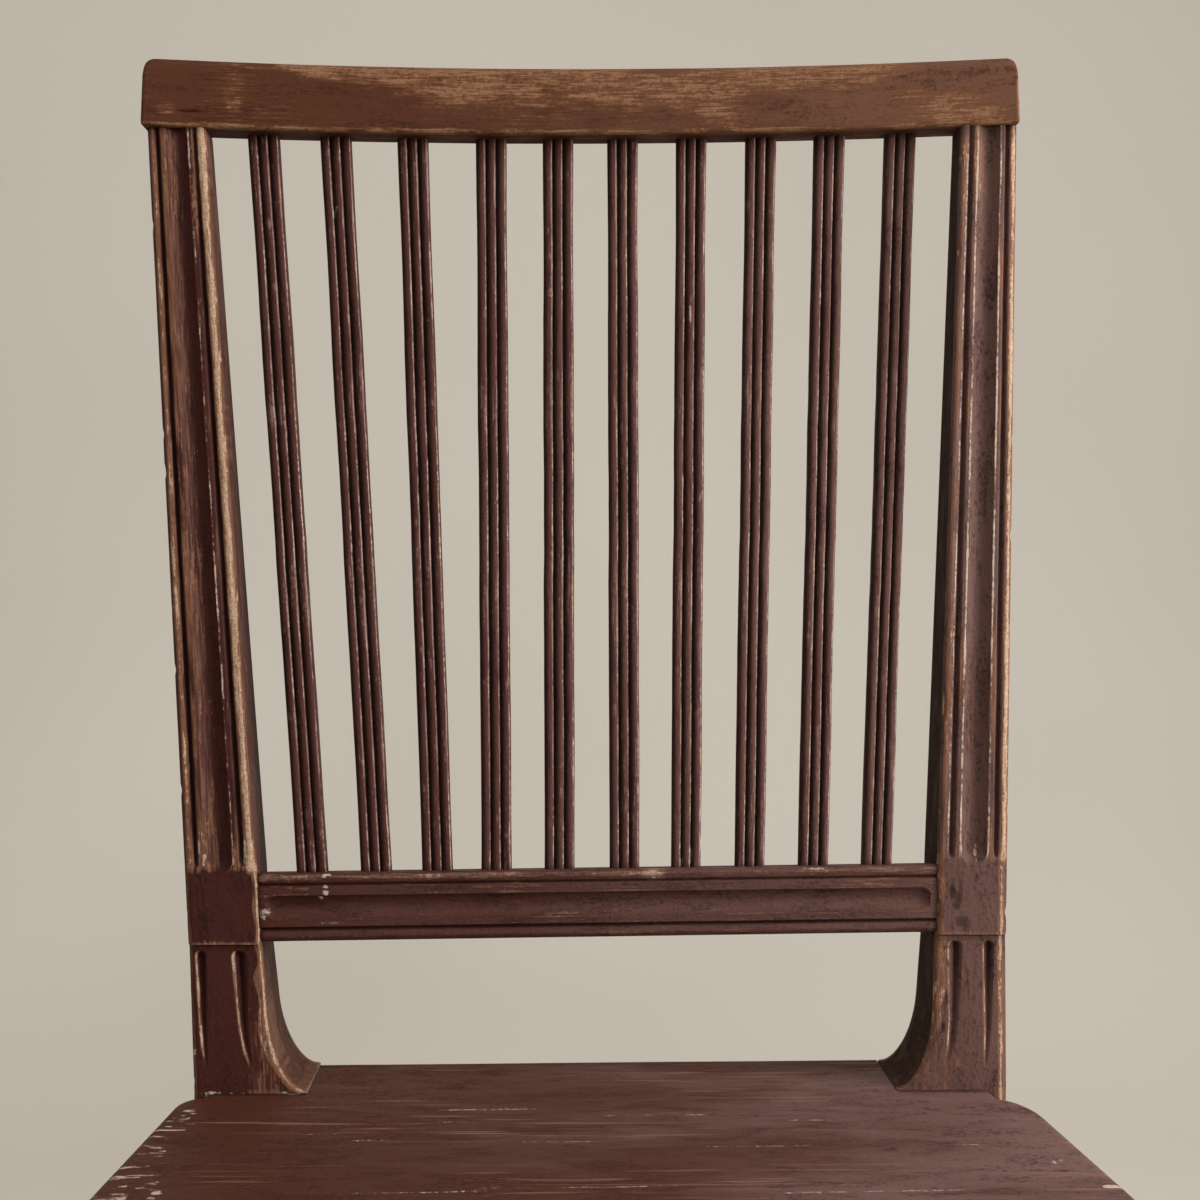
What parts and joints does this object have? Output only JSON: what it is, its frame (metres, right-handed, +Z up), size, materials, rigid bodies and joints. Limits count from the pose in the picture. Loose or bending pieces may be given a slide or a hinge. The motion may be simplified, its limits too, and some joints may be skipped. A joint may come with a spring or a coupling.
{
  "type": "side chair",
  "caption": "Country side chair in worn red-brown paint: raked back of reeded slats between fluted posts, plank seat, square tapered legs and an H stretcher.",
  "frame": {"origin": "on the floor, under the middle of the whole chair's bounding box", "axes": "+Z up; -Y is the way a sitter faces, +Y the side of the back; +X to the right of someone who stands before the chair and looks at it. Left and right in names are those of that onlooker."},
  "size_m": [0.4328, 0.4748, 0.9145],
  "materials": {
    "worn_crest_paint": "old red-brown paint, worn through to pale wood along the grain",
    "red_brown_paint": "old red-brown paint with a low sheen, worn to bare wood on the edges",
    "seat_paint": "old red-brown paint, rubbed smooth, with fine scratches along the grain",
    "painted_peg": "end grain under worn paint",
    "old_iron": "dull dark iron under traces of paint"
  },
  "bodies": {
    "root": {"crest_rail": "worn_crest_paint", "lower_back_rail": "red_brown_paint", "left_back_post": "red_brown_paint", "right_back_post": "red_brown_paint", "left_front_leg": "red_brown_paint", "right_front_leg": "red_brown_paint", "front_seat_rail": "red_brown_paint", "rear_seat_rail": "red_brown_paint", "left_seat_rail": "red_brown_paint", "right_seat_rail": "red_brown_paint", "left_stretcher": "red_brown_paint", "right_stretcher": "red_brown_paint", "cross_stretcher": "red_brown_paint", "back_slat_1": "red_brown_paint", "back_slat_2": "red_brown_paint", "back_slat_3": "red_brown_paint", "back_slat_4": "red_brown_paint", "back_slat_5": "red_brown_paint", "back_slat_6": "red_brown_paint", "back_slat_7": "red_brown_paint", "back_slat_8": "red_brown_paint", "back_slat_9": "red_brown_paint", "back_slat_10": "red_brown_paint", "seat_board": "seat_paint", "crest_peg_1": "painted_peg", "crest_peg_2": "painted_peg", "back_rail_peg_1": "painted_peg", "back_rail_peg_2": "painted_peg", "seat_rail_peg_1": "painted_peg", "seat_rail_peg_2": "painted_peg", "seat_rail_peg_3": "painted_peg", "seat_rail_peg_4": "painted_peg", "seat_rail_peg_5": "painted_peg", "seat_rail_peg_6": "painted_peg", "seat_rail_peg_7": "painted_peg", "seat_rail_peg_8": "painted_peg", "stretcher_peg_1": "painted_peg", "stretcher_peg_2": "painted_peg", "stretcher_peg_3": "painted_peg", "stretcher_peg_4": "painted_peg", "seat_nail_1": "old_iron", "seat_nail_2": "old_iron", "seat_nail_3": "old_iron", "seat_nail_4": "old_iron", "seat_nail_5": "old_iron", "seat_nail_6": "old_iron", "seat_nail_7": "old_iron", "seat_nail_8": "old_iron"}
  },
  "joints": []
}
